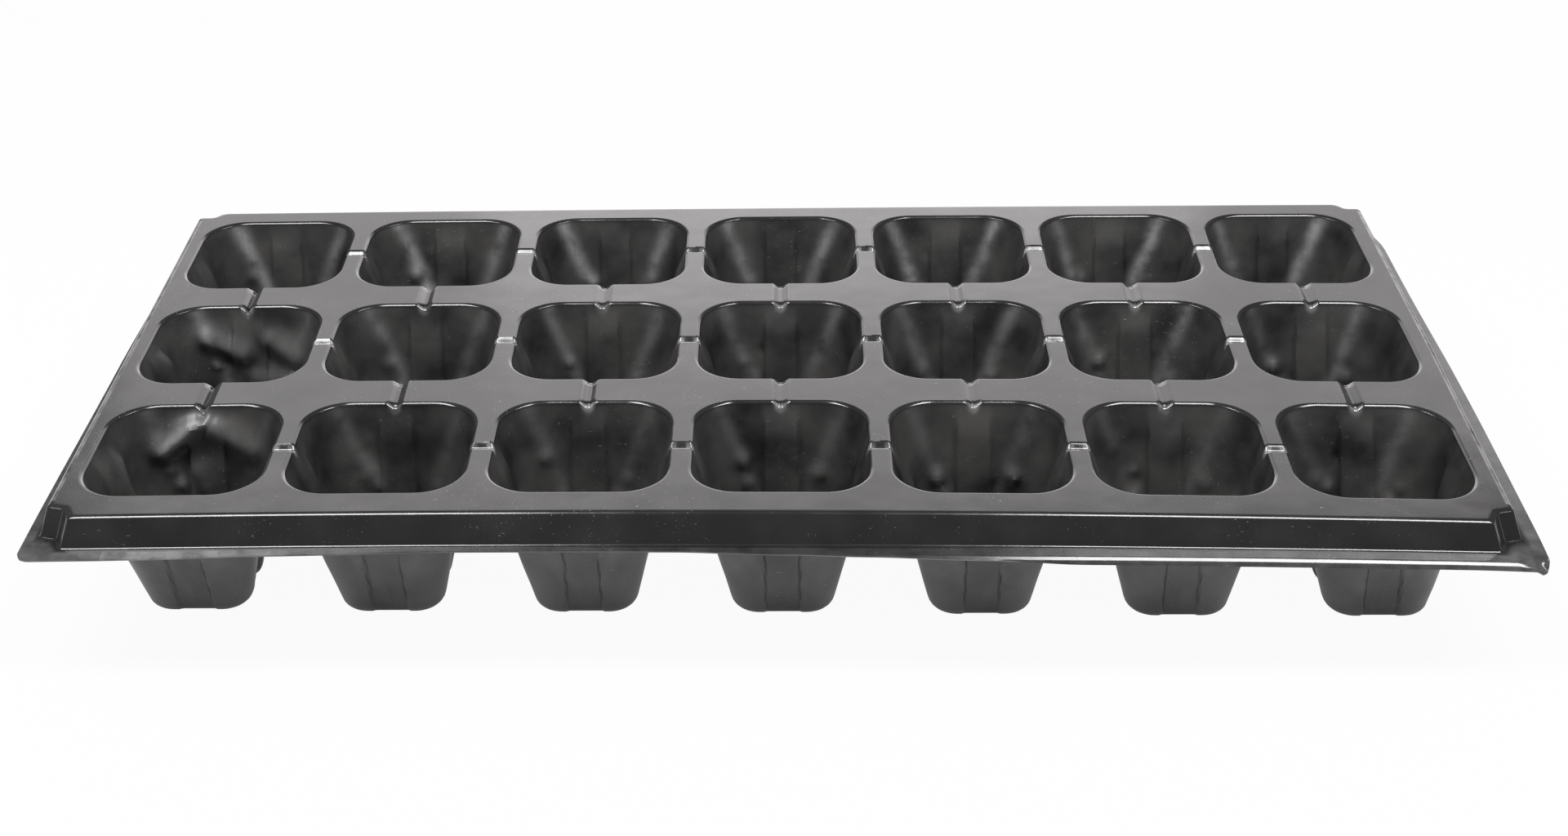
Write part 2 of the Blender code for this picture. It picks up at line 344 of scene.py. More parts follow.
def bead(crest, facet, end):
    """A rolled edge as (reach, drop) from flat to an end angle: round, nearly flat at the facet, tight."""
    bends = (
        (math.radians(facet[0]), crest),
        (math.radians(facet[1]), facet[2] / math.radians(facet[1] - facet[0])),
        (end, crest * BEAD_TAIL),
    )
    points = [(0.0, 0.0)]
    angle = 0.0
    for bend_end, radius in bends:
        step = (bend_end - angle) / BEAD_STEPS
        for _ in range(BEAD_STEPS):
            reach, drop = points[-1]
            middle = angle + step / 2.0
            run = radius * step
            points.append((reach + run * math.cos(middle), drop + run * math.sin(middle)))
            angle += step
    return points


# Share of the shoulder's reach by which its corner radius shrinks
SHOULDER_SHRINK = 0.5
# How fast the dents of a wall set in below the shoulder, and how fast they end over the base
WALL_RISE = 9.0
WALL_FALL = 6.0


def cell_stations(cell, base):
    """The cell's section from the deck beside the mouth down to the flat base."""
    lean = math.atan2(cell.base_inset, DECK_HEIGHT)
    swing = math.pi / 2.0 - lean
    tangent = cell.base_fillet * math.tan(swing / 2.0)
    stations = [Station(-out, DECK_HEIGHT, cell.mouth_corner + out, link=1.0) for out in LIP_RINGS]
    for inset, drop in bead(cell.shoulder, MOUTH_FACET, swing):
        corner = cell.mouth_corner - inset * SHOULDER_SHRINK
        stations.append(Station(inset, DECK_HEIGHT - drop, corner, link=1.0))

    top = stations[-1]
    foot_inset = cell.base_inset - tangent * math.sin(lean)
    foot_height = base + tangent * math.cos(lean)
    for step in range(1, WALL_STEPS + 1):
        share = (step / WALL_STEPS) ** WALL_CROWDING
        height = mix(top.height, foot_height, share)
        stations.append(
            Station(
                mix(top.inset, foot_inset, share),
                height,
                mix(top.corner, cell.base_corner, share),
                link=1.0 - ease((top.height - height) / cell.link_fade),
                rib=ease((top.height - height) / cell.rib_fade),
                wall=ease(share * WALL_RISE) * ease((1.0 - share) * WALL_FALL),
            )
        )

    for step in range(1, FILLET_STEPS + 1):
        angle = swing * step / FILLET_STEPS
        inset = cell.base_inset + tangent - cell.base_fillet * math.sin(swing - angle)
        height = base + cell.base_fillet * (1.0 - math.cos(swing - angle))
        share = step / FILLET_STEPS
        corner = mix(cell.base_corner, cell.floor_corner, share)
        stations.append(Station(inset, height, corner, rib=1.0 - ease(share)))
    return stations


def ramp(value, bend):
    """An even slope from 1 to 0 with rounded ends."""
    value = min(max(value, 0.0), 1.0)
    if value > 0.5:
        return 1.0 - ramp(1.0 - value, bend)
    steep = 1.0 / (1.0 - bend)
    if value < bend:
        return 1.0 - steep * value * value / (2.0 * bend)
    return 1.0 - steep * (value - bend / 2.0)


# Share of a channel's width that is flat, and share of its slopes that is rounded
LINK_FLAT = 0.16
LINK_BEND = 0.08


class CellPlan:
    """One cell: its settings, what its sides link to, and how far its piece of deck reaches."""

    def __init__(self, cell, name, row, column, reaches):
        self.cell = cell
        self.name = name
        self.reaches = reaches
        self.halves = (cell.mouth_length / 2.0, cell.mouth_width / 2.0)
        self.links = (column < COLUMNS - 1, row < len(ROWS) - 1, column > 0, row > 0)
        self.crease = cell.crease if column == 0 else 0.0
        self.across = column / (COLUMNS - 1)
        self.sheen_strength = ROW_SHEEN[row]

    def straight(self, quarter):
        """Half the straight part of a side of the mouth."""
        return self.halves[(quarter + 1) % 2] - self.cell.mouth_corner

    def dip(self, quarter, place, out):
        """Depth of the channel across a side, at a place along it and a way out of the lip."""
        if not self.links[quarter]:
            return 0.0
        cell = self.cell
        width = cell.row_width if quarter % 2 else cell.column_width
        share = ramp((abs(place) / (width / 2.0) - LINK_FLAT) / (1.0 - LINK_FLAT), LINK_BEND)
        if quarter % 2 == 0:
            return cell.column_link * share
        run = cell.front_run if SIDE_NAMES[quarter] == "front" else cell.back_run
        dip = cell.row_link + cell.lip_dip * max(1.0 - out / run, 0.0)
        return dip * share + self.crease * ramp(abs(place) / (cell.crease_width / 2.0), LINK_BEND)

    def rib(self, place):
        """How far the rib stands in at a place along a side."""
        cell = self.cell
        return cell.rib_depth * (1.0 - ease((abs(place) - cell.rib_width / 2.0) / cell.rib_edge + 0.5))

    def streak(self, station, place, x):
        """Strength of the painted highlight stripe at a distance past a corner's front or back end.

        The distance is taken round the corner, and the streaks change from the first column to the last.
        """
        cell = self.cell
        down = (DECK_HEIGHT - station.height) / DECK_HEIGHT
        middle = mix(cell.sheen_start, cell.sheen_end, down)
        middle += mix(cell.sheen_skew, -cell.sheen_skew, self.across) * (1.0 if x > 0.0 else -1.0)
        strength = mix(cell.sheen_weak, 1.0, self.across if x > 0.0 else 1.0 - self.across)
        return strength * math.exp(-(((place - middle) / cell.sheen_width) ** 2))


def wall_ring(plan, station):
    """One ring of a cell: points, the way in, the painted highlight of the corner stripes and that of the
    links.
    """
    cell = plan.cell
    halves = (plan.halves[0] - station.inset * cell.end_taper, plan.halves[1] - station.inset)
    lean = cell.base_inset / DECK_HEIGHT
    ring = []
    for quarter in range(4):
        out = halves[quarter % 2]
        along = halves[(quarter + 1) % 2]
        straight = along - station.corner
        glint_here = quarter % 2 == 0 or station.inset >= 0.0
        for stop in SIDE_STOPS:
            place = straight * stop
            dip = plan.dip(quarter, place, max(-station.inset, 0.0)) * station.link
            reach = out - station.rib * plan.rib(place) - dip * lean
            point = turned(quarter, reach, place, station.height - dip)
            # Painted highlights: a stripe down the corner, and one where the link notches the lip
            drawn = plan.streak(station, abs(place) - straight, point.x) if quarter % 2 else 0.0
            painted_glint = min(dip / cell.row_link, 1.0) if glint_here else 0.0
            ring.append((point, turned(quarter, -1.0, 0.0, 0.0), drawn, painted_glint))
        for step in range(1, CORNER_STEPS):
            angle = math.pi / 2.0 * step / CORNER_STEPS
            arc_out = out - station.corner * (1.0 - math.cos(angle))
            arc_along = along - station.corner * (1.0 - math.sin(angle))
            point = turned(quarter, arc_out, arc_along, station.height)
            past = angle if quarter % 2 else math.pi / 2.0 - angle
            # Painted highlight stripe round the corner
            drawn = plan.streak(station, past * station.corner, point.x)
            ring.append((point, turned(quarter, -math.cos(angle), -math.sin(angle), 0.0), drawn, 0.0))
    return ring


def deck_ring(plan):
    """The edge of a cell's piece of deck, stop for stop with the rings of the wall."""
    half_turn = CORNER_STEPS / 2.0
    ring = []
    for quarter in range(4):
        out = plan.reaches[quarter]
        ahead = plan.reaches[(quarter + 1) % 4]
        straight = plan.straight(quarter)
        web = out - plan.halves[quarter % 2]
        for stop in SIDE_STOPS:
            place = straight * stop
            ring.append(turned(quarter, out, place, DECK_HEIGHT - plan.dip(quarter, place, web)))
        for step in range(1, CORNER_STEPS):
            share = step / half_turn
            if share <= 1.0:
                ring.append(turned(quarter, out, mix(straight, ahead, share), DECK_HEIGHT))
            else:
                back = mix(out, plan.straight(quarter + 1), share - 1.0)
                ring.append(turned(quarter, back, ahead, DECK_HEIGHT))
    return ring


def web_ring(plan, edge, lip, share):
    """A ring of the deck, a share of the way from the edge of a cell's piece of it to the lip."""
    ring = []
    for number, (far, (near, *_)) in enumerate(zip(edge, lip)):
        point = far.lerp(near, share)
        quarter, stop = divmod(number, PER_SIDE)
        if stop < len(SIDE_STOPS):
            place = plan.straight(quarter) * SIDE_STOPS[stop]
            out = mix(plan.reaches[quarter] - plan.halves[quarter % 2], LIP_RINGS[0], share)
            point.z = DECK_HEIGHT - plan.dip(quarter, place, out)
        ring.append(point)
    return ring


def drain_ring(radius, height):
    """A ring round the drain hole, stop for stop with the rings of the wall."""
    ring = []
    for quarter in range(4):
        for stop in range(PER_SIDE):
            angle = math.pi / 2.0 * (stop - SIDE_STEPS) / PER_SIDE
            ring.append(turned(quarter, radius * math.cos(angle), radius * math.sin(angle), height))
    return ring


def draw_ring(bm, ring, places):
    """Extrude a closed ring of vertices and put the new ring in its places."""
    edges = [bm.edges.get(pair) for pair in zip(ring, ring[1:] + ring[:1])]
    grown = set(bmesh.ops.extrude_edge_only(bm, edges=edges)["geom"])
    new_ring = []
    for vert, place in zip(ring, places):
        twin = next(edge.other_vert(vert) for edge in vert.link_edges if edge.other_vert(vert) in grown)
        twin.co = place
        new_ring.append(twin)
    return new_ring


# How many radii away a dent ends
DENT_REACH = 2.5


class Dent:
    """A rounded dent in a wall, run out from one place to another one, with a painted highlight on its
    crest.
    """

    def __init__(self, start, end, way, radius, depth, pale):
        self.start = start
        self.run = end - start
        self.way = way
        self.radius = radius
        self.depth = depth
        self.pale = pale

    def bulge(self, point):
        """How much of the dent's depth is reached at a point, from 0 to 1."""
        offset = point - self.start
        share = offset.dot(self.run) / max(self.run.length_squared, TINY)
        offset -= self.run * min(max(share, 0.0), 1.0)
        away = offset.length / self.radius
        return math.exp(-away * away) if away < DENT_REACH else 0.0


def wall_place(plan, quarter, along, height):
    """A place on a wall, along and height as shares of the wall's half length and of its height."""
    inset = plan.cell.base_inset * (1.0 - height)
    out = plan.halves[quarter % 2] - inset
    along *= plan.halves[(quarter + 1) % 2] - inset
    return turned(quarter, out, along, DECK_HEIGHT * height)


# Where the walls of a cell have knocks: side, place along it, height
BUMPS = (
    ("back", 0.52, 0.60),
    ("back", 0.47, 0.46),
    ("back", 0.52, 0.34),
    ("left", -0.60, 0.52),
    ("right", 0.62, 0.46),
    ("back", -0.58, 0.52),
    ("back", -0.50, 0.36),
    ("front", 0.30, 0.50),
)
# How far a bump strays along the wall and in height, its radius, depth over radius and painted highlight
BUMP_STRAYS = (0.08, 0.06)
BUMP_RADII = (0.0018, 0.0032)
BUMP_DEPTHS = (0.45, 1.15)
BUMP_SHEEN = (0.0, 0.5)
# Where a dimple may lie along the wall and in height, its radius and depth over radius
DIMPLE_PLACES = ((-0.6, 0.6), (0.45, 0.80))
DIMPLE_RADII = (0.0014, 0.0022)
DIMPLE_DEPTHS = (-0.5, 0.5)


def handling_dents(plan):
    """The bumps and small dimples in the walls of a cell."""
    draw = random.Random(plan.name)
    dents = []
    for side, along, height in BUMPS:
        quarter = SIDE_NAMES.index(side)
        way = turned(quarter, -1.0, 0.0, 0.0)
        along, height = (
            middle + draw.uniform(-stray, stray) for middle, stray in zip((along, height), BUMP_STRAYS)
        )
        place = wall_place(plan, quarter, along, height)
        radius = draw.uniform(*BUMP_RADII)
        depth = draw.uniform(*BUMP_DEPTHS) * radius
        dents.append(Dent(place, place, way, radius, depth, draw.uniform(*BUMP_SHEEN)))
        place = wall_place(plan, quarter, *(draw.uniform(*span) for span in DIMPLE_PLACES))
        radius = draw.uniform(*DIMPLE_RADII)
        dents.append(Dent(place, place, way, radius, draw.uniform(*DIMPLE_DEPTHS) * radius, 0.0))
    return dents


# Large dents: cell, side of the wall, place and height of both ends, radius and depth in metres, painted
# highlight on the crest
BIG_DENTS = (
    ("front_1", "back", (0.02, 0.93), (0.56, 0.73), 0.0046, 0.0058, 1.0),
    ("front_1", "back", (-0.14, 0.87), (-0.58, 0.73), 0.0055, 0.0036, 0.25),
    ("front_1", "back", (0.12, 0.58), (0.05, 0.50), 0.0045, 0.0026, 0.15),
    ("front_1", "left", (-0.35, 0.80), (-0.10, 0.45), 0.0050, 0.0030, 0.15),
    ("middle_1", "back", (0.55, 0.80), (0.10, 0.70), 0.0050, 0.0044, 0.30),
    ("middle_1", "back", (-0.30, 0.78), (-0.65, 0.66), 0.0050, 0.0036, 0.25),
    ("middle_1", "back", (-0.10, 0.52), (-0.65, 0.48), 0.0050, 0.0036, 0.15),
    ("middle_1", "left", (-0.10, 0.80), (0.05, 0.50), 0.0050, 0.0034, 0.20),
    ("front_2", "back", (0.30, 0.50), (0.36, 0.56), 0.0040, 0.0024, 0.15),
    ("back_3", "back", (0.45, 0.58), (0.38, 0.57), 0.0032, 0.0020, 1.0),
    ("back_5", "back", (0.60, 0.58), (0.54, 0.57), 0.0034, 0.0022, 1.0),
    ("middle_5", "left", (0.30, 0.45), (0.20, 0.48), 0.0040, 0.0024, 0.15),
)


def cell_dents(plan):
    """All the dents of one cell."""
    dents = handling_dents(plan)
    for label, side, start, end, *sizes in BIG_DENTS:
        if plan.name == "cell_" + label:
            quarter = SIDE_NAMES.index(side)
            ends = [wall_place(plan, quarter, *place) for place in (start, end)]
            dents.append(Dent(*ends, turned(quarter, -1.0, 0.0, 0.0), *sizes))
    return dents


# Waves of the unevenness of a wall to a metre, and how far the cells' own places in it lie apart
RIPPLE_SCALE = 70.0
RIPPLE_SPREAD = 9.0


def battered(cell, ring, wall, dents, offset):
    """The points of a ring, moved by the unevenness and the dents of the wall, and the painted highlight of
    each on a dent's crest.
    """
    moved = []
    for point, inward, _, _ in ring:
        place = point.copy()
        crest_glint = 0.0
        if wall > 0.0:
            bulges = [(dent.bulge(point), dent) for dent in dents]
            bulge, dent = max(bulges, key=lambda pair: pair[0] * abs(pair[1].depth))
            place += inward * (cell.ripple * wall * noise.noise((point + offset) * RIPPLE_SCALE))
            place += dent.way * (dent.depth * bulge * wall)
            # A painted highlight on the crest of the dent
            crest_glint = dent.pale * bulge * bulge
        moved.append((place, crest_glint))
    return moved


# How far each column stands to the right of the even pitch, and each row to the back of it, in metres
COLUMN_SHIFTS = (-0.0009, -0.0012, -0.0011, -0.0010, -0.0011, -0.0014, -0.0020)
ROW_SHIFTS = (-0.0014, -0.0006, -0.0006)
# How far the base of each column leans to the right and to the back, in metres, at the front row
COLUMN_LEANS = (
    (0.0003, 0.0044),
    (0.0004, 0.0029),
    (-0.0001, 0.0021),
    (0.0007, 0.0014),
    (0.0017, -0.0001),
    (0.0026, -0.0014),
    (0.0050, -0.0020),
)
ROW_LEANS = (1.0, 0.6, 0.3)
# How strong the painted highlight stripes in the corners of the cells are in each row
ROW_SHEEN = (0.25, 0.50, 1.0)
# How much of a painted highlight stripe is gone at a depth under the deck
SHEEN_LOSS = 0.75
SHEEN_DEPTH = 0.060
# Depth under the deck where the dull inside of a cell begins, and height over which it sets in
SOIL_START = 0.0006
SOIL_RUN = 0.0012
# How steeply the painted highlight of a link falls off over the deck and down the wall, as powers
WEB_GLINT_POWER = 5
WALL_GLINT_POWER = 3
# Width of the faces round a drain hole
DRAIN_EDGE = 0.0012


def seam_shifts(shifts, number):
    """How far the seams before and after a column or row stand off the even pitch."""
    own = shifts[number]
    before = shifts[number - 1] if number > 0 else own
    after = shifts[number + 1] if number + 1 < len(shifts) else own
    return (own + before) / 2.0, (own + after) / 2.0


def rim_seam(side, reach):
    """How far out the seam between the cells and the rim of a side stands."""
    shifts = {
        "right": COLUMN_SHIFTS[-1],
        "back": ROW_SHIFTS[-1],
        "left": -COLUMN_SHIFTS[0],
        "front": -ROW_SHIFTS[0],
    }
    return reach + shifts[side]


def cell_skin(plan, base):
    """A cell from its piece of deck down to its drain hole, about its own axis."""
    cell = plan.cell
    stations = cell_stations(cell, base)
    dents = cell_dents(plan)
    draw = random.Random(plan.name + "_ripple")
    offset = Vector([draw.uniform(-RIPPLE_SPREAD, RIPPLE_SPREAD) for _ in range(2)] + [0.0])
    places = deck_ring(plan)
    bm = bmesh.new()
    soil = bm.verts.layers.float.new("soil")
    pale = bm.verts.layers.float.new("pale")
    ring = bmesh.ops.create_circle(bm, segments=len(places), radius=1.0)["verts"]
    for vert, place in zip(ring, places):
        vert.co = place
    lip = wall_ring(plan, stations[0])
    for share in WEB_SHARES:
        ring = draw_ring(bm, ring, web_ring(plan, places, lip, share))
        # A painted highlight at the link ends, rising toward the lip
        for vert, (*_, painted_glint) in zip(ring, lip):
            vert[pale] = painted_glint * share**WEB_GLINT_POWER * cell.link_sheen
    for station in stations:
        points = wall_ring(plan, station)
        moved = battered(cell, points, station.wall, dents, offset)
        ring = draw_ring(bm, ring, [place for place, _ in moved])
        depth = DECK_HEIGHT - station.height
        inside = ease((depth - SOIL_START) / SOIL_RUN)
        # The painted highlight stripes fade with depth and are strongest in the back row
        fade = inside * (1.0 - SHEEN_LOSS * ease(depth / SHEEN_DEPTH)) * plan.sheen_strength
        for vert, (_, _, drawn, painted_glint), (_, crest_glint) in zip(ring, points, moved):
            vert[soil] = inside
            # Painted highlights: corner stripes, link ends and dent crests
            vert[pale] = max(drawn * fade, painted_glint * cell.link_sheen * station.link**WALL_GLINT_POWER, crest_glint)
    for radius in (cell.drain_radius + DRAIN_EDGE, cell.drain_radius):
        ring = draw_ring(bm, ring, drain_ring(radius, base))
        for vert in ring:
            vert[soil] = 1.0
    return bm


class SEEDTRAY_OT_cells(bpy.types.Operator):
    """Draw every cell of the tray as a fine formed skin"""

    bl_idname = "seedtray.cells"
    bl_label = "Cells"

    def execute(self, context):
        sheet, cell = context.scene.tray_sheet, context.scene.tray_cell
        for row, row_name in enumerate(ROWS):
            for column in range(COLUMNS):
                name = "cell_{}_{}".format(row_name, column + 1)
                low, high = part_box(name)
                hollow = HOLLOWS[name + "_hollow"]
                x = (hollow[0][0] + hollow[1][0]) / 2.0 + COLUMN_SHIFTS[column]
                y = (hollow[0][1] + hollow[1][1]) / 2.0 + ROW_SHIFTS[row]
                seam = sheet.zone_gap / 2.0
                left, right = seam_shifts(COLUMN_SHIFTS, column)
                front, back = seam_shifts(ROW_SHIFTS, row)
                reaches = (
                    high.x + seam + right - x,
                    high.y + seam + back - y,
                    x - low.x + seam - left,
                    y - low.y + seam - front,
                )
                plan = CellPlan(cell, name, row, column, reaches)
                bm = cell_skin(plan, sheet.gauge + sheet.clearance)
                lean = Vector((*COLUMN_LEANS[column], 0.0)) * ROW_LEANS[row]
                for vert in bm.verts:
                    vert.co += Vector((x, y, 0.0)) + lean * (1.0 - vert.co.z / DECK_HEIGHT)
                add_piece(name, bm)
        return {"FINISHED"}


# Strip of plain deck before the rounded edge of the rim
EDGE_MARGIN = 0.0006


def rim_section(rim, reach_in):
    """The rim's section from the deck to the flange, as (distance out of the deck's edge, drop)."""
    draft = rim.skirt_draft
    lean = math.atan2(draft, rim.skirt_height)
    swing = math.pi / 2.0 - lean
    edge = bead(rim.edge_radius, RIM_FACET, swing)
    start = edge[-1][1] * draft / rim.skirt_height - edge[-1][0]
    section = [(-reach_in, 0.0), (start - EDGE_MARGIN, 0.0)]
    section.extend((start + reach, drop) for reach, drop in edge)
    foot = bead(rim.foot_radius, FOOT_FACET, swing)
    reach_all, drop_all = foot[-1]
    start = draft - drop_all * draft / rim.skirt_height
    for reach, drop in reversed(foot):
        section.append((start + reach_all - reach, rim.skirt_height - drop))
    return section


# The trimmed front flange: place along the tray, flat width, turned-down edge, slope in degrees
FRONT_FLANGE = (
    (-0.262, 0.0050, 0.0003, 8.0),
    (-0.225, 0.0046, 0.0003, 8.0),
    (-0.185, 0.0034, 0.0003, 8.0),
    (-0.115, 0.0020, 0.0003, 8.0),
    (-0.040, 0.0022, 0.0003, 8.0),
    (0.000, 0.0038, 0.0003, 8.0),
    (0.030, 0.0044, 0.0008, 6.0),
    (0.070, 0.0046, 0.0020, 2.0),
    (0.105, 0.0044, 0.0035, 2.0),
    (0.180, 0.0042, 0.0037, 2.0),
    (0.262, 0.0042, 0.0037, 2.0),
)
# How strong the painted highlight on the front flange is along the tray
FRONT_SHEENS = ((-0.262, 0.55), (-0.20, 0.55), (-0.13, 0.11), (0.06, 0.09), (0.13, 0.18), (0.262, 0.18))
# Rows of the rim's section down to the end of the flat part of its rounded edge
EDGE_ROWS = 2 * BEAD_STEPS + 3
# Rows of the flange: shares of its flat part, then of its turned-down edge
FLAT_SHARES = (0.3, 0.6, 0.85, 1.0)
LIP_SHARES = (0.08, 0.16, 0.3, 0.45, 0.55, 0.65, 0.75, 1.0)
FLANGE_ROWS = [(share, 0.0) for share in FLAT_SHARES] + [(1.0, share) for share in LIP_SHARES]


def along_tray(table, x):
    """The values of a table at a place along the tray, eased from one row of it to the next."""
    for before, after in zip(table, table[1:]):
        if x <= after[0]:
            share = ease((x - before[0]) / (after[0] - before[0]))
            return [mix(*pair, share) for pair in zip(before[1:], after[1:])]
    return table[-1][1:]


def front_flange(x):
    """Flat width, turned-down edge and slope of the front flange at a place along the tray."""
    flat, lip, slope = along_tray(FRONT_FLANGE, x)
    return flat, lip, math.radians(slope)


def flange_curve(rim, flat, lip, slope, row):
    """Reach and drop of a row of the flange: out of the foot, then down over the two folds of its lip."""
    flat_share, lip_share = FLANGE_ROWS[row]
    reach = flat * flat_share * math.cos(slope)
    drop = flat * flat_share * math.sin(slope)
    run = lip * lip_share
    for step in range(FLANGE_STEPS):
        place = run * (step + 0.5) / FLANGE_STEPS
        bend = ease(place / rim.fold_radius) + ease((place - rim.fold_width) / rim.fold_radius)
        reach += run / FLANGE_STEPS * math.cos(slope + bend * rim.fold_turn)
        drop += run / FLANGE_STEPS * math.sin(slope + bend * rim.fold_turn)
    return reach, drop


def grid_skin(columns, rows, place, sheen):
    """A grid of faces, put in place and given a painted highlight by functions of a vertex's column and
    row.
    """
    bm = bmesh.new()
    pale = bm.verts.layers.float.new("pale")
    bmesh.ops.create_grid(bm, x_segments=columns, y_segments=rows, size=0.5)
    for vert in bm.verts:
        column = round((vert.co.x + 0.5) * columns)
        row = round((vert.co.y + 0.5) * rows)
        vert.co = place(column, row)
        vert[pale] = sheen(column, row)
    return bm


def deck_reach(rim, side):
    """How far the raised deck reaches to a side."""
    return getattr(rim, "deck_" + side)


# Where the side flanges grow narrower across the tray: start and length
LEFT_TAPERS = ((-0.13, 0.14), (0.0, 0.07))
RIGHT_TAPER = (-0.06, 0.14)
RIGHT_TRIM = (0.103, 0.020)


def side_flange(rim, side, y):
    """Flat width, turned-down edge and slope of the flange at a side or at the back."""
    foot = rim_section(rim, 0.0)[-1][0]
    tray_half = TRAY_HALF[SIDE_NAMES.index(side) % 2]
    flat = tray_half - deck_reach(rim, side) - foot - rim.trim_lip
    if side == "left":
        flat -= rim.left_taper * sum(ease((y - start) / run) for start, run in LEFT_TAPERS)
    if side == "right":
        flat -= rim.right_taper * ease((y - RIGHT_TAPER[0]) / RIGHT_TAPER[1])
        flat = mix(flat, rim.right_end, ease((y - RIGHT_TRIM[0]) / RIGHT_TRIM[1]))
    return flat, rim.trim_lip, rim.left_slope if side == "left" else 0.0


def straight_rim_skin(rim, side, cell_reach, start, end):
    """A straight length of rim on one side, between two places along it."""
    quarter = SIDE_NAMES.index(side)
    deck_half = deck_reach(rim, side)
    section = rim_section(rim, deck_half - cell_reach)
    foot_out, foot_drop = section[-1]
    runs = round((end - start) / RIM_RUN_STEP)

    def place(column, row):
        along = mix(start, end, column / runs)
        if row < len(section):
            out, drop = section[row]
        else:
            y = along * QUARTER_TURNS[quarter][0]
            flange = front_flange(along) if side == "front" else side_flange(rim, side, y)
            reach, fall = flange_curve(rim, *flange, row - len(section))
            out, drop = foot_out + reach, foot_drop + fall
        return turned(quarter, deck_half + out, along, DECK_HEIGHT - drop)

    # Painted highlight on the deck's left and right edges and on the flanges
    def sheen(column, row):
        if row < len(section):
            return rim.edge_sheen if quarter % 2 == 0 and 1 < row < EDGE_ROWS else 0.0
        if side == "front":
            return along_tray(FRONT_SHEENS, mix(start, end, column / runs))[0]
        return rim.side_sheen

    return grid_skin(runs, len(section) + len(FLANGE_ROWS) - 1, place, sheen)


class SEEDTRAY_OT_straight_rims(bpy.types.Operator):
    """Draw the four straight lengths of rim"""

    bl_idname = "seedtray.straight_rims"
    bl_label = "Straight rims"

    def execute(self, context):
        rim = context.scene.tray_rim
        seam = context.scene.tray_sheet.zone_gap / 2.0
        for quarter, side in enumerate(SIDE_NAMES):
            name = side + "_rim"
            low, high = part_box(name)
            axis = quarter % 2
            cell_reach = rim_seam(side, min(abs(low[axis]), abs(high[axis])) - seam)
            start = end = high[1 - axis] + seam
            if axis == 0:
                start = rim_seam(SIDE_NAMES[quarter - 1], start)
                end = rim_seam(SIDE_NAMES[quarter + 1], end)
            bm = straight_rim_skin(rim, side, cell_reach, -start, end)
            add_piece(name, bm)
        return {"FINISHED"}


# Most of a line's part that a rounded corner may take up
CUT_LIMIT = 0.45


def rounded_line(corners, radius, arc_steps=5, run_steps=5):
    """Points along a line whose inner corners are rounded, as many on each part of it."""
    points = []
    start = corners[0]
    for before, corner, after in zip(corners, corners[1:], corners[2:]):
        cut = min(radius, *((end - corner).length * CUT_LIMIT for end in (before, after)))
        enter = corner + (before - corner).normalized() * cut
        leave = corner + (after - corner).normalized() * cut
        points.extend(start.lerp(enter, step / run_steps) for step in range(run_steps))
        for step in range(arc_steps):
            share = step / arc_steps
            points.append(enter.lerp(corner, share).lerp(corner.lerp(leave, share), share))
        start = leave
    points.extend(start.lerp(corners[-1], step / run_steps) for step in range(run_steps + 1))
    return points


# How far the cut across a corner of the flange bows out, and its rounding, as shares of the cut
CLIP_BOW = 0.3
CLIP_ROUND = 0.25


def corner_skin(rim, end, side, corner_x, cell_reach):
    """A corner of the rim: deck, rounded edge, skirt and flange drawn along the notch."""
    sign_x = -1.0 if side == "left" else 1.0
    sign_y = -1.0 if end == "front" else 1.0
    deck_x = deck_reach(rim, side)
    deck_y = deck_reach(rim, end)
    notch_x = deck_x - rim.notch_length
    notch_y = deck_y - (rim.front_notch if end == "front" else rim.back_notch)
    radius = rim.front_notch_radius if end == "front" else rim.back_notch_radius
    skew = rim.notch_skew if end == "front" else 0.0
    section = rim_section(rim, rim.edge_radius)

    def notch_line(out):
        corners = (
            Vector((corner_x, deck_y + out)),
            Vector((notch_x - rim.notch_flare + out, deck_y + out)),
            Vector((notch_x + out, notch_y + out)),
            Vector((deck_x + out, notch_y - skew + out)),
            Vector((deck_x + out, cell_reach)),
        )
        return rounded_line(corners, radius)

    lines = [notch_line(out) for out, _ in section]
    last = len(lines[1]) - 1
    far_x = lines[1][-1].x
    lines[0] = [Vector((mix(corner_x, far_x, stop / last), cell_reach)) for stop in range(last + 1)]
    end_flange = front_flange(sign_x * corner_x) if end == "front" else side_flange(rim, end, 0.0)
    near_flange = side_flange(rim, side, sign_y * cell_reach)
    trim_x = deck_x + section[-1][0] + flange_curve(rim, *near_flange, -1)[0]
    trim_y = deck_y + section[-1][0] + flange_curve(rim, *end_flange, -1)[0]
    clip = rim.flange_clip
    trimmed = (
        Vector((corner_x, trim_y)),
        Vector((trim_x - clip, trim_y)),
        Vector((trim_x - clip * CLIP_BOW, trim_y - clip * CLIP_BOW)),
        Vector((trim_x, trim_y - clip)),
        Vector((trim_x, cell_reach)),
    )
    outer = rounded_line(trimmed, clip * CLIP_ROUND)
    sag = rim.corner_sag if (end, side) == ("front", "right") else 0.0

    def place(column, row):
        if row < len(section):
            point = lines[row][column]
            height = DECK_HEIGHT - section[row][1]
        else:
            share = ease(column / last)
            flange = [mix(*pair, share) for pair in zip(end_flange, near_flange)]
            reach, fall = flange_curve(rim, *flange, row - len(section))
            reach /= flange_curve(rim, *flange, -1)[0]
            point = lines[-1][column].lerp(outer[column], reach)
            bend = ease(1.0 - abs(2.0 * column / last - 1.0)) * reach * reach
            height = DECK_HEIGHT - section[-1][1] - fall - sag * bend
        return Vector((point.x * sign_x, point.y * sign_y, height))

    # Painted highlight on the corner's flange
    def sheen(column, row):
        return rim.corner_scuff if row >= len(section) else 0.0

    bm = grid_skin(last, len(section) + len(FLANGE_ROWS) - 1, place, sheen)
    bmesh.ops.remove_doubles(bm, verts=bm.verts, dist=MERGE_DISTANCE)
    return bm


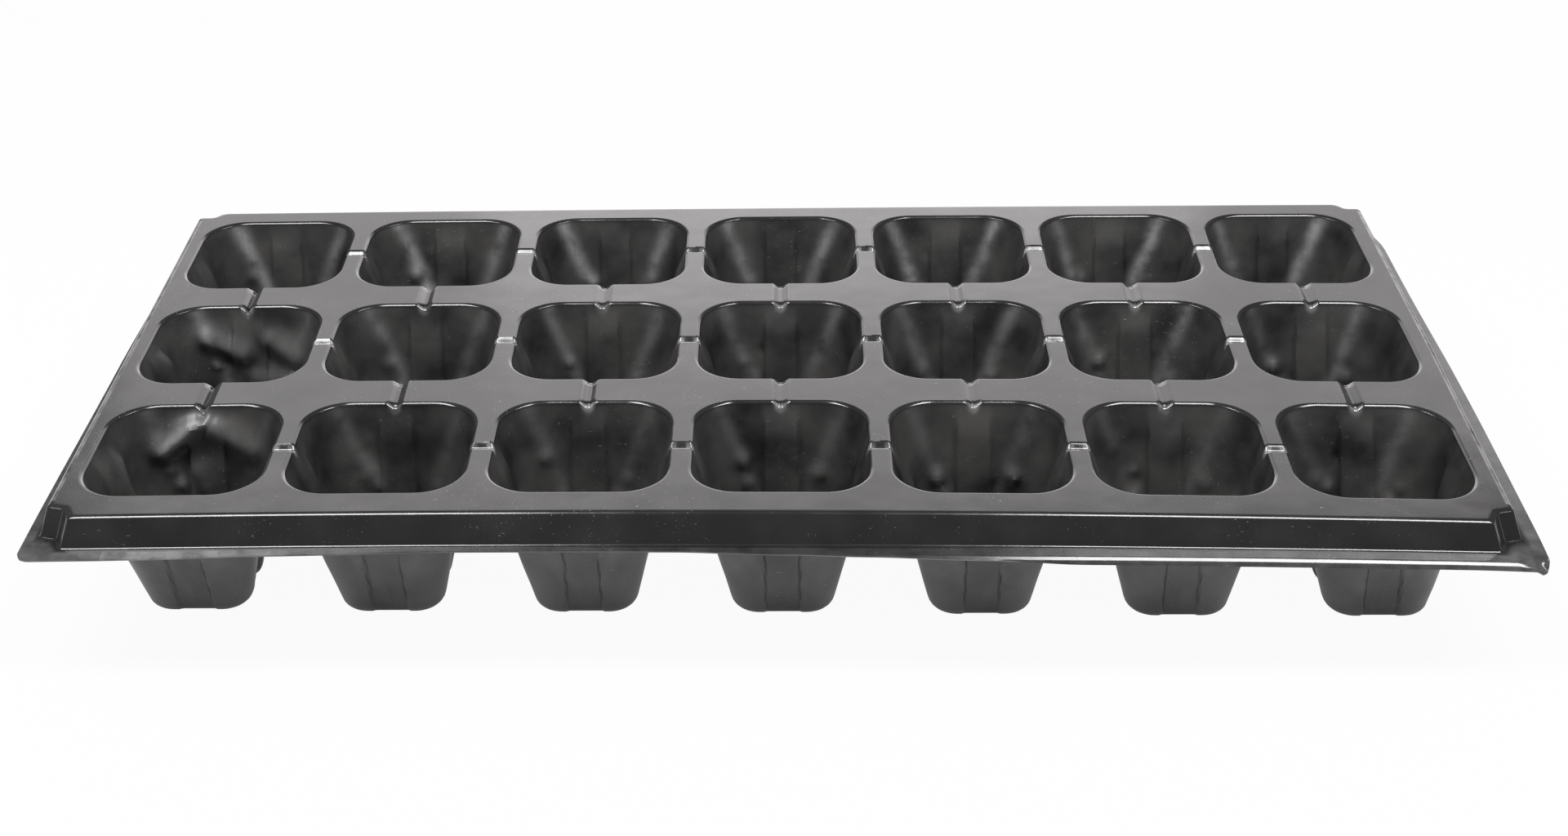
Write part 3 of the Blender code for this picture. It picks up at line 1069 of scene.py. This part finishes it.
class SEEDTRAY_OT_rim_corners(bpy.types.Operator):
    """Draw the four notched corners of the rim"""

    bl_idname = "seedtray.rim_corners"
    bl_label = "Rim corners"

    def execute(self, context):
        rim = context.scene.tray_rim
        seam = context.scene.tray_sheet.zone_gap / 2.0
        for end in ("front", "back"):
            for side in ("left", "right"):
                name = "corner_{}_{}".format(end, side)
                low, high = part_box(name)
                corner_x = min(abs(low.x), abs(high.x)) - seam
                cell_reach = rim_seam(end, min(abs(low.y), abs(high.y)) - seam)
                bm = corner_skin(rim, end, side, corner_x, cell_reach)
                add_piece(name, bm)
        return {"FINISHED"}


# Noise masks of the finish: scale, the two levels between which the mask rises from 0 to 1, detail
NOISES = {
    "soil": (48.0, 0.32, 0.66, 3.0),
    "pale": (120.0, 0.2, 0.6, 3.0),
    "dust": (45.0, 0.42, 0.80, 4.0),
    "scratch": (1.0, 0.71, 0.75, 2.0),
    "scratch_patch": (30.0, 0.50, 0.62, 2.0),
    "speck": (1400.0, 0.73, 0.78, 1.0),
    "speck_patch": (38.0, 0.50, 0.6, 2.0),
    "rough": (60.0, 0.3, 0.7, 4.0),
    "wave": (60.0, 0.2, 0.8, 1.0),
    "grain": (1400.0, 0.2, 0.8, 2.0),
}
SCRATCH_STRETCH = (420.0, 1900.0, 2300.0)
WHITE = (1.0, 1.0, 1.0, 1.0)


def plug(tree, node, inputs):
    """Set the inputs of a node to values, or join them to the outputs of other nodes."""
    for name, value in inputs.items():
        if isinstance(value, bpy.types.NodeSocket):
            tree.links.new(value, node.inputs[name])
        else:
            node.inputs[name].default_value = value


def add_node(tree, kind, inputs, output, **traits):
    """An output of a new node, its traits set first and then its inputs."""
    node = tree.nodes.new("ShaderNode" + kind)
    for name, value in traits.items():
        setattr(node, name, value)
    plug(tree, node, inputs)
    return node.outputs[output]


def speckle(tree, coords, name):
    """One of the noise masks."""
    scale, low, high, detail = NOISES[name]
    value = add_node(tree, "TexNoise", {"Vector": coords, "Scale": scale, "Detail": detail}, "Fac")
    return add_node(tree, "MapRange", {"Value": value, "From Min": low, "From Max": high}, "Result")


def product(tree, first, second):
    """The product of two sockets, or of a socket and a number."""
    return add_node(tree, "Math", {0: first, 1: second}, "Value", operation="MULTIPLY")


def mixed_shader(tree, share, first, second):
    """Two shaders mixed by a mask."""
    return add_node(tree, "MixShader", {"Fac": share, 1: first, 2: second}, "Shader")


def black_sheet(finish):
    """The black formed plastic: satin, a little uneven, dusty in places, nicked, and with painted
    highlights.
    """
    material = bpy.data.materials.get("black_sheet")
    if material is not None:
        return material
    material = bpy.data.materials.new("black_sheet")
    material.use_nodes = True
    tree = material.node_tree
    coords = add_node(tree, "TexCoord", {}, "Object")
    stretched = add_node(tree, "Mapping", {"Vector": coords, "Scale": SCRATCH_STRETCH}, "Vector")
    inside = add_node(tree, "Attribute", {}, "Fac", attribute_name="soil")
    painted_glint = add_node(tree, "Attribute", {}, "Fac", attribute_name="pale")

    tint = (*finish.plastic, 1.0)
    # The pale layer is painted highlight; soil, dust, scratches and specks are the sheet's own marks.
    for share, mask, over in (
        (inside, speckle(tree, coords, "soil"), finish.soiled),
        (painted_glint, speckle(tree, coords, "pale"), finish.pale),
        (speckle(tree, coords, "dust"), finish.dust_cover, finish.dust),
        (speckle(tree, stretched, "scratch"), speckle(tree, coords, "scratch_patch"), finish.nick),
        (speckle(tree, coords, "speck"), speckle(tree, coords, "speck_patch"), finish.nick),
    ):
        layer = {"Factor": product(tree, share, mask), "A": tint, "B": (*over, 1.0)}
        tint = add_node(tree, "Mix", layer, "Result", data_type="RGBA")

    span = {"Value": speckle(tree, coords, "rough"), "To Min": finish.smooth, "To Max": finish.rough}
    satin = {"Factor": inside, "A": add_node(tree, "MapRange", span, "Result"), "B": finish.dull}
    bumps = {}
    for name, height in (("wave", finish.wave), ("grain", finish.grain)):
        bumps.update({"Height": speckle(tree, coords, name), "Distance": height})
        bumps["Normal"] = add_node(tree, "Bump", bumps, "Normal")
    looks = {
        "Base Color": tint,
        "Roughness": add_node(tree, "Mix", satin, "Result"),
        "IOR": finish.index,
        "Normal": bumps["Normal"],
    }
    plug(tree, tree.nodes["Principled BSDF"], looks)
    return material


# Overhead softboxes: size of both, place of the right one
SOFTBOX_SIZE = (0.8, 0.24)
SOFTBOX_PLACE = (0.62, -0.30, 1.15)
# Panels behind the tray: name, width and height, place of the middle
BACK_PANELS = (
    ("wide", (1.95, 1.00), (0.13, 1.60, 0.50)),
    ("core", (0.84, 0.88), (0.06, 1.58, 0.44)),
    ("high", (1.96, 0.24), (0.05, 1.60, 1.12)),
)
FLOOR_HALF = 3.0
CLIP_START = 0.01


def add_area_light(name, size, place, target, energy):
    """A rectangular softbox turned to a point."""
    data = bpy.data.lights.new(name, "AREA")
    data.shape = "RECTANGLE"
    data.size, data.size_y = size
    data.energy = energy
    light = bpy.data.objects.new(name, data)
    light.location = place
    light.rotation_euler = (Vector(target) - Vector(place)).to_track_quat("-Z", "Y").to_euler()
    bpy.context.scene.collection.objects.link(light)
    return light


def add_floor(stage):
    """A plain pale floor that shows white from above, with the tray's soft shadow on it."""
    bm = bmesh.new()
    bmesh.ops.create_grid(bm, x_segments=1, y_segments=1, size=FLOOR_HALF)
    mesh = bpy.data.meshes.new("floor")
    bm.to_mesh(mesh)
    bm.free()
    material = bpy.data.materials.new("floor_paper")
    material.use_nodes = True
    tree = material.node_tree
    tree.nodes.remove(tree.nodes["Principled BSDF"])
    paper = add_node(tree, "BsdfDiffuse", {"Color": (*stage.floor, 1.0)}, "BSDF")
    glow = add_node(tree, "Emission", {}, "Emission")
    clear = add_node(tree, "BsdfTransparent", {}, "BSDF")
    below = add_node(tree, "NewGeometry", {}, "Backfacing")
    gloss = add_node(tree, "LightPath", {}, "Is Glossy Ray")
    # The floor's glow in the tray's gloss is cut by ambient occlusion near the tray: painted shade
    nook = add_node(tree, "AmbientOcclusion", {"Distance": stage.nook}, "AO")
    seen = {0: add_node(tree, "LightPath", {}, "Is Camera Ray"), 1: stage.floor_glow}
    seen[2] = product(tree, gloss, nook)
    white = add_node(tree, "Math", seen, "Value", operation="MULTIPLY_ADD")
    above = mixed_shader(tree, white, paper, glow)
    plug(tree, tree.nodes["Material Output"], {"Surface": mixed_shader(tree, below, above, clear)})
    mesh.materials.append(material)
    floor = bpy.data.objects.new("floor", mesh)
    bpy.context.scene.collection.objects.link(floor)
    floor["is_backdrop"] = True


def set_world(stage):
    """White behind the tray for the camera, and dim surroundings for everything else."""
    world = bpy.data.worlds.new("studio")
    world.use_nodes = True
    tree = world.node_tree
    dim = add_node(tree, "Background", {"Color": WHITE, "Strength": stage.fill}, "Background")
    white = add_node(tree, "Background", {"Color": WHITE}, "Background")
    seen = add_node(tree, "LightPath", {}, "Is Camera Ray")
    plug(tree, tree.nodes["World Output"], {"Surface": mixed_shader(tree, seen, dim, white)})
    bpy.context.scene.world = world


def add_camera(stage, aim_height):
    """The camera of the photo, over the front of the tray."""
    data = bpy.data.cameras.new("camera")
    data.lens = stage.lens
    data.clip_start = CLIP_START
    camera = bpy.data.objects.new("camera", data)
    back = Vector(
        (
            math.sin(stage.swing) * math.cos(stage.elevation),
            -math.cos(stage.swing) * math.cos(stage.elevation),
            math.sin(stage.elevation),
        )
    )
    aim = Vector((stage.aim[0], stage.aim[1], aim_height))
    camera.location = aim + back * stage.distance
    facing = back.to_track_quat("Z", "Y").to_matrix() @ Matrix.Rotation(stage.roll, 3, "Z")
    camera.rotation_euler = facing.to_euler()
    bpy.context.scene.collection.objects.link(camera)
    bpy.context.scene.camera = camera


class SEEDTRAY_OT_stage(bpy.types.Operator):
    """Set the floor, the surroundings, the lights and the camera"""

    bl_idname = "seedtray.stage"
    bl_label = "Stage"

    def execute(self, context):
        scene = context.scene
        stage = scene.tray_stage
        add_floor(stage)
        set_world(stage)
        for side, sign in (("left", -1.0), ("right", 1.0)):
            x, y, z = SOFTBOX_PLACE
            place = (sign * x, y, z)
            add_area_light(side + "_softbox", SOFTBOX_SIZE, place, (sign * x, 0.0, 0.0), stage.top_light)
        for name, size, place in BACK_PANELS:
            energy = getattr(stage, name + "_light")
            panel = add_area_light(name + "_panel", size, place, (place[0], 0.0, place[2]), energy)
            panel.data.color = stage.light_tint
        add_camera(stage, DECK_HEIGHT + scene.tray_sheet.crown)
        scene.view_settings.view_transform = "Standard"
        return {"FINISHED"}


class SEEDTRAY_PT_panel(bpy.types.Panel):
    """Settings and steps of the seed tray"""

    bl_idname = "SEEDTRAY_PT_panel"
    bl_label = "Seed tray"
    bl_space_type = "VIEW_3D"
    bl_region_type = "UI"
    bl_category = "Seed tray"

    def draw(self, context):
        for pointer in SETTINGS:
            box = self.layout.box()
            settings = getattr(context.scene, pointer)
            for field in settings.__annotations__:
                box.prop(settings, field)
        for step in STEPS:
            self.layout.operator(step.bl_idname)


SETTINGS = {
    "tray_sheet": SheetSettings,
    "tray_cell": CellSettings,
    "tray_rim": RimSettings,
    "tray_finish": FinishSettings,
    "tray_stage": StageSettings,
}
STEPS = (SEEDTRAY_OT_cells, SEEDTRAY_OT_straight_rims, SEEDTRAY_OT_rim_corners, SEEDTRAY_OT_stage)


def register():
    """Register the settings, the steps and the panel."""
    for pointer, settings in SETTINGS.items():
        bpy.utils.register_class(settings)
        setattr(bpy.types.Scene, pointer, PointerProperty(type=settings))
    for step in STEPS:
        bpy.utils.register_class(step)
    bpy.utils.register_class(SEEDTRAY_PT_panel)


def unregister():
    """Undo what register did."""
    bpy.utils.unregister_class(SEEDTRAY_PT_panel)
    for step in reversed(STEPS):
        bpy.utils.unregister_class(step)
    for pointer, settings in reversed(SETTINGS.items()):
        delattr(bpy.types.Scene, pointer)
        bpy.utils.unregister_class(settings)


def main():
    """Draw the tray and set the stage."""
    register()
    bpy.ops.seedtray.cells()
    bpy.ops.seedtray.straight_rims()
    bpy.ops.seedtray.rim_corners()
    bpy.ops.seedtray.stage()
    boxes = {"cad": CAD_BOX, "visual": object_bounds()}
    {name: [list(corner) for corner in box] for name, box in boxes.items()}


if __name__ == "__main__":
    main()
